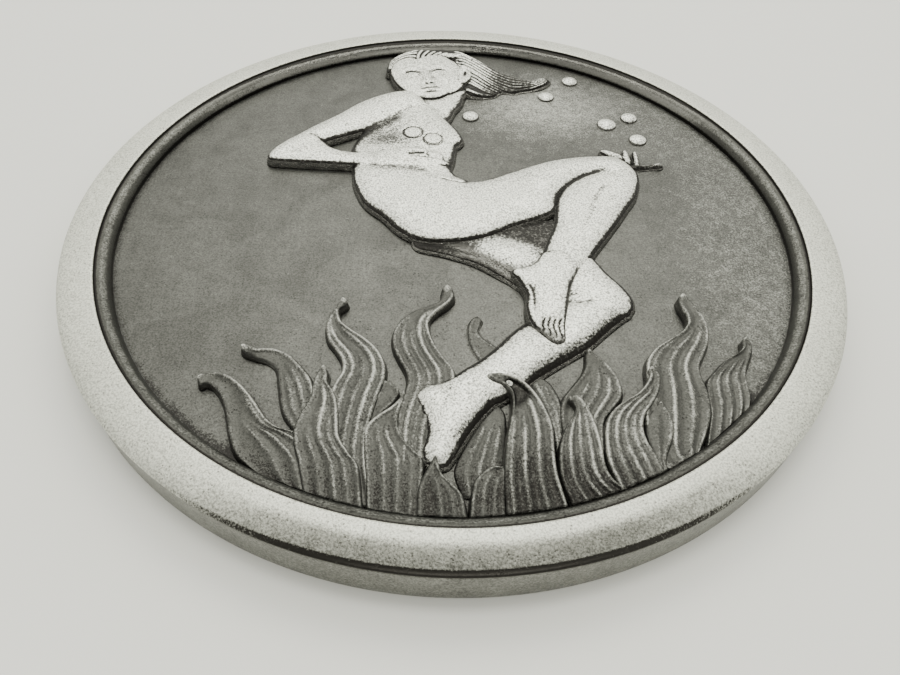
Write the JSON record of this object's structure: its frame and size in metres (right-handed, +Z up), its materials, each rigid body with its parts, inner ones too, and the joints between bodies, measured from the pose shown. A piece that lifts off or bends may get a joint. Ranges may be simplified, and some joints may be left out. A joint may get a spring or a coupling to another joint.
{
  "type": "round cast relief dish",
  "caption": "Heavy round cast-metal dish with a raised rim and a deep relief of a leaping dancer above curling flames.",
  "frame": {"origin": "centre of the underside, on the plane that the dish lies on", "axes": "+Z up out of the relief, +Y towards the dancer's head"},
  "size_m": [0.26, 0.26, 0.016],
  "materials": {
    "rim_metal": "matte cast, rubbed bright, fine dark pits",
    "moulding_metal": "satin, dark in the grooves",
    "field_metal": "satin, dark patina, brush marks",
    "figure_metal": "rubbed bright on top, glossy dark side walls",
    "coin_metal": "rubbed bright",
    "flame_metal": "dark patina with rubbed bright ribs"
  },
  "bodies": {
    "root": {"base_plate": "field_metal", "rim": "rim_metal", "bead_moulding": "moulding_metal", "head": "figure_metal", "hair": "figure_metal", "neck": "figure_metal", "torso": "figure_metal", "near_upper_arm": "figure_metal", "near_forearm": "figure_metal", "near_hand": "figure_metal", "near_thigh": "figure_metal", "near_shin": "figure_metal", "near_foot": "figure_metal", "far_hand": "figure_metal", "far_thigh": "figure_metal", "far_shin": "figure_metal", "far_foot": "figure_metal", "coins": "coin_metal", "flame_front": "flame_metal", "flame_arch": "flame_metal", "flame_ankle": "flame_metal", "flame_curl": "flame_metal", "flame_hook": "flame_metal", "flame_pointed": "flame_metal", "flame_heel": "flame_metal", "flame_low": "flame_metal", "flame_tall": "flame_metal", "flame_right": "flame_metal", "flame_bud": "flame_metal", "flame_wave": "flame_metal", "flame_wave_low": "flame_metal", "flame_wave_high": "flame_metal", "flame_centre": "flame_metal", "flame_behind_shin": "flame_metal", "flame_behind_ankle": "flame_metal", "flame_behind_foot": "flame_metal", "flame_slender": "flame_metal"}
  },
  "joints": []
}
